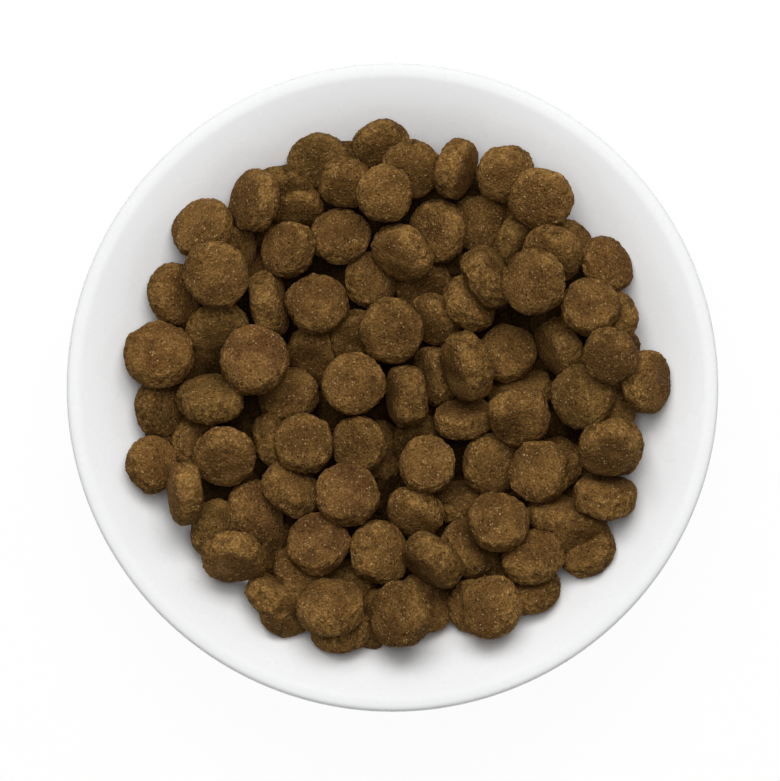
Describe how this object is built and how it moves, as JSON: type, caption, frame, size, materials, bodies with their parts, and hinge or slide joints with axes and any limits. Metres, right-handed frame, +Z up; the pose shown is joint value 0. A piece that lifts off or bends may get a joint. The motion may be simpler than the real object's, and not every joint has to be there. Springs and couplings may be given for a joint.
{
  "type": "bowl of dry pet food",
  "caption": "Shallow round white glazed bowl with a flared rim and a foot ring, filled with a heap of brown, disc-shaped dry pet food kibbles.",
  "frame": {"origin": "on the table, under the middle of the bowl", "axes": "+Z up out of the bowl; +X to the right and +Y to the top of the heap's plan"},
  "size_m": [0.14, 0.14, 0.0538],
  "materials": {
    "glaze": "smooth white glaze, glossy",
    "kibble": "dry baked crumb, matt brown with fine light and dark grains"
  },
  "bodies": {
    "root": {"bowl": "glaze", "kibble_bed": "kibble", "kibble_01": "kibble", "kibble_02": "kibble", "kibble_03": "kibble", "kibble_04": "kibble", "kibble_05": "kibble", "kibble_06": "kibble", "kibble_07": "kibble", "kibble_08": "kibble", "kibble_09": "kibble", "kibble_10": "kibble", "kibble_11": "kibble", "kibble_12": "kibble", "kibble_13": "kibble", "kibble_14": "kibble", "kibble_15": "kibble", "kibble_16": "kibble", "kibble_17": "kibble", "kibble_18": "kibble", "kibble_19": "kibble", "kibble_20": "kibble", "kibble_21": "kibble", "kibble_22": "kibble", "kibble_23": "kibble", "kibble_24": "kibble", "kibble_25": "kibble", "kibble_26": "kibble", "kibble_27": "kibble", "kibble_28": "kibble", "kibble_29": "kibble", "kibble_30": "kibble", "kibble_31": "kibble", "kibble_32": "kibble", "kibble_33": "kibble", "kibble_34": "kibble", "kibble_35": "kibble", "kibble_36": "kibble", "kibble_37": "kibble", "kibble_38": "kibble", "kibble_39": "kibble", "kibble_40": "kibble", "kibble_41": "kibble", "kibble_42": "kibble", "kibble_43": "kibble", "kibble_44": "kibble", "kibble_45": "kibble", "kibble_46": "kibble", "kibble_47": "kibble", "kibble_48": "kibble", "kibble_49": "kibble", "kibble_50": "kibble", "kibble_51": "kibble", "kibble_52": "kibble", "kibble_53": "kibble", "kibble_54": "kibble", "kibble_55": "kibble", "kibble_56": "kibble", "kibble_57": "kibble", "kibble_58": "kibble"}
  },
  "joints": []
}
